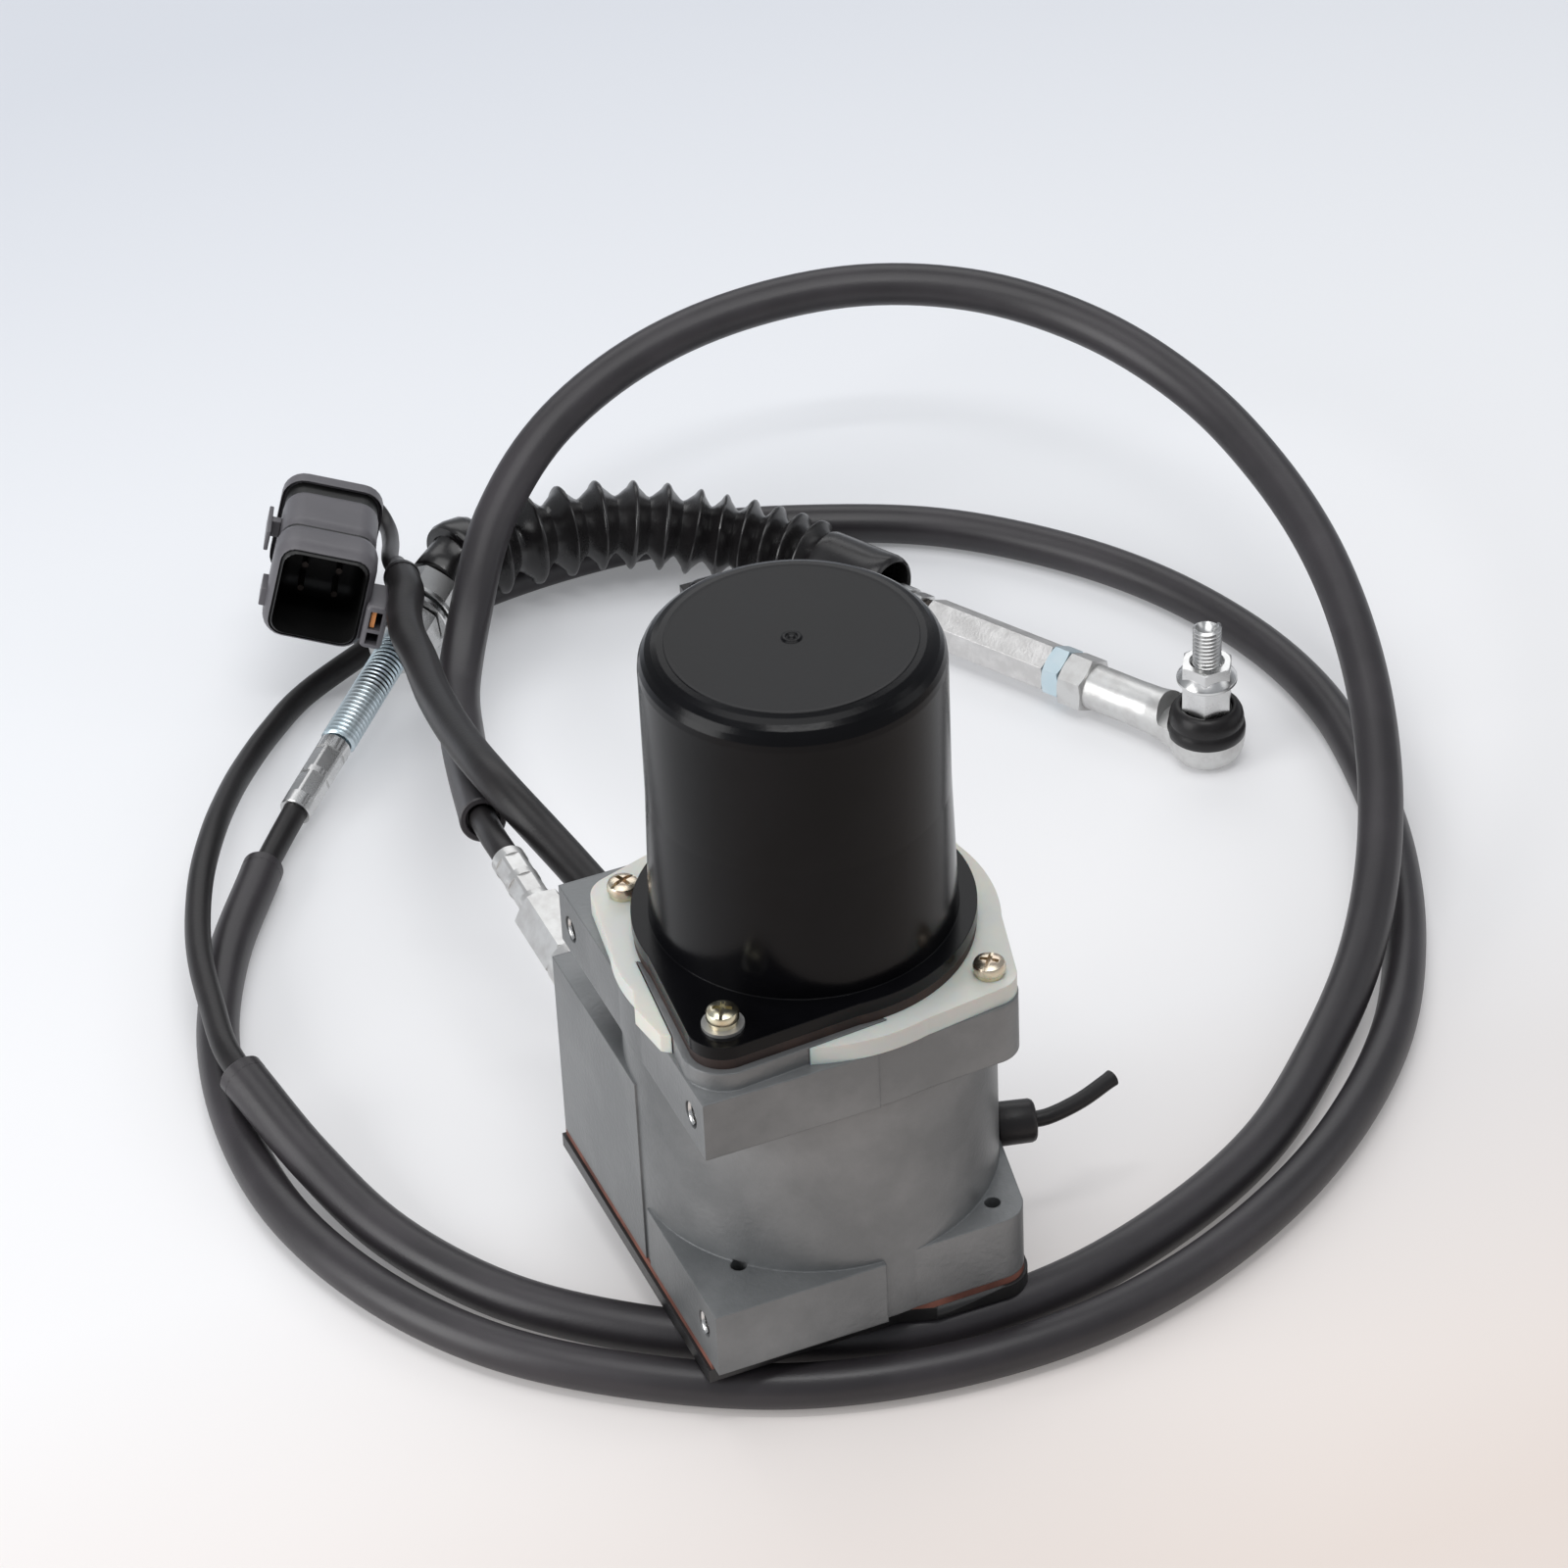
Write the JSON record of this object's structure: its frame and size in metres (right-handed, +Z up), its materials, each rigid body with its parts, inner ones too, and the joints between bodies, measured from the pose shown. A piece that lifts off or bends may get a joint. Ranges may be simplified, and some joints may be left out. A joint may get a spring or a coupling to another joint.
{
  "type": "throttle motor",
  "caption": "Electric throttle actuator: upright motor on a die-cast gear housing, push-pull cable with ball-stud rod end, wiring connector.",
  "frame": {"origin": "on the motor's axis, at the underside of the base pan", "axes": "+Z up along the motor axis, -X out of the mounting face with the three threaded holes, -Y out of the lugs' front faces"},
  "size_m": [0.3505, 0.3969, 0.1913],
  "materials": {
    "cast_alloy": "die cast, matt",
    "gasket": "matt",
    "black_plastic": "gloss",
    "nylon": "translucent white",
    "zinc": "zinc plated",
    "yellow_zinc": "yellow zinc plated",
    "steel": "machined",
    "magnet": "matt",
    "resin": "matt",
    "carbon": "matt",
    "copper": "enamelled wire",
    "bronze": "sintered",
    "black_rubber": "satin",
    "tube": "satin",
    "gray_plastic": "matt",
    "orange_plastic": "matt",
    "black_paint": "satin paint"
  },
  "bodies": {
    "actuator": {"housing": "cast_alloy", "base_gasket": "gasket", "base_cover": "black_paint", "base_screws": "zinc", "adapter_plate": "nylon", "cover_gasket": "gasket", "motor_cover": "black_plastic", "cover_screws": "yellow_zinc", "spring_washers": "yellow_zinc", "flat_washers": "zinc", "plate_screws": "yellow_zinc", "motor_can": "steel", "magnets": "magnet", "end_bell": "cast_alloy", "brush_plate": "resin", "brushes": "carbon", "bearings": "steel", "carrier_plate": "cast_alloy", "carrier_screws": "zinc", "sensor_case": "carbon", "shaft_bushes": "bronze", "gear_pin": "steel", "vent_grommet": "black_rubber", "vent_tube": "black_rubber", "cable_gland": "black_rubber", "electric_cable": "black_rubber", "lead_bundle": "black_rubber", "connector_shell": "gray_plastic", "connector_wedge": "orange_plastic", "contact_pins": "yellow_zinc", "rear_seal": "gasket", "cable_fitting": "zinc", "sheath_first": "black_rubber", "tube_long": "tube", "sheath_middle": "black_rubber", "tube_lower": "tube", "sheath_end": "black_rubber", "swage_sleeve": "zinc", "threaded_conduit": "zinc", "conduit_nuts": "zinc", "conduit_washers": "zinc", "bellows": "black_rubber", "core_wire": "steel"},
    "armature": {"armature_core": "steel", "windings": "copper", "commutator": "copper", "motor_shaft": "steel", "motor_pinion": "bronze"},
    "middle_gear": {"intermediate_gear": "steel"},
    "output": {"output_gear": "bronze", "output_shaft": "steel"},
    "rack_slide": {"rack": "steel", "core_rod": "steel"},
    "rod": {"end_rod": "zinc", "jam_nuts": "zinc", "turnbuckle": "zinc", "rod_end": "zinc", "stud_boot": "black_rubber"},
    "stud": {"ball_stud": "zinc", "stud_nut": "zinc"}
  },
  "joints": [
    {"name": "armature_spin", "type": "hinge", "parent": "actuator", "child": "armature", "pos_m": [0, 0, 0.1], "axis": [0, 0, 1], "range_deg": [-318, 318]},
    {"name": "middle_spin", "type": "hinge", "parent": "actuator", "child": "middle_gear", "pos_m": [0.00489, 0.02247, 0.06], "axis": [0, 0, 1], "range_deg": [-112.5, 112.5]},
    {"name": "output_spin", "type": "hinge", "parent": "actuator", "child": "output", "pos_m": [-0.022, 0.02, 0.05], "axis": [0, 0, 1], "range_deg": [-40.95, 40.95]},
    {"name": "rack_travel", "type": "slide", "parent": "actuator", "child": "rack_slide", "axis": [0, 1, 0], "range_m": [-0.01, 0.01]},
    {"name": "rod_travel", "type": "slide", "parent": "actuator", "child": "rod", "axis": [0.5044, -0.8635, 0], "range_m": [-0.01, 0.01]},
    {"name": "stud_swivel", "type": "hinge", "parent": "rod", "child": "stud", "pos_m": [0.1803, 0.1471, 0.0095], "axis": [0, 0, 1], "continuous": true}
  ],
  "couplings": [
    {"joint": "middle_spin", "follows": "armature_spin", "ratio": -0.35294},
    {"joint": "output_spin", "follows": "armature_spin", "ratio": 0.12834},
    {"joint": "rack_travel", "follows": "armature_spin", "m_per_rad": -0.0017968},
    {"joint": "rod_travel", "follows": "armature_spin", "m_per_rad": -0.0017968}
  ]
}
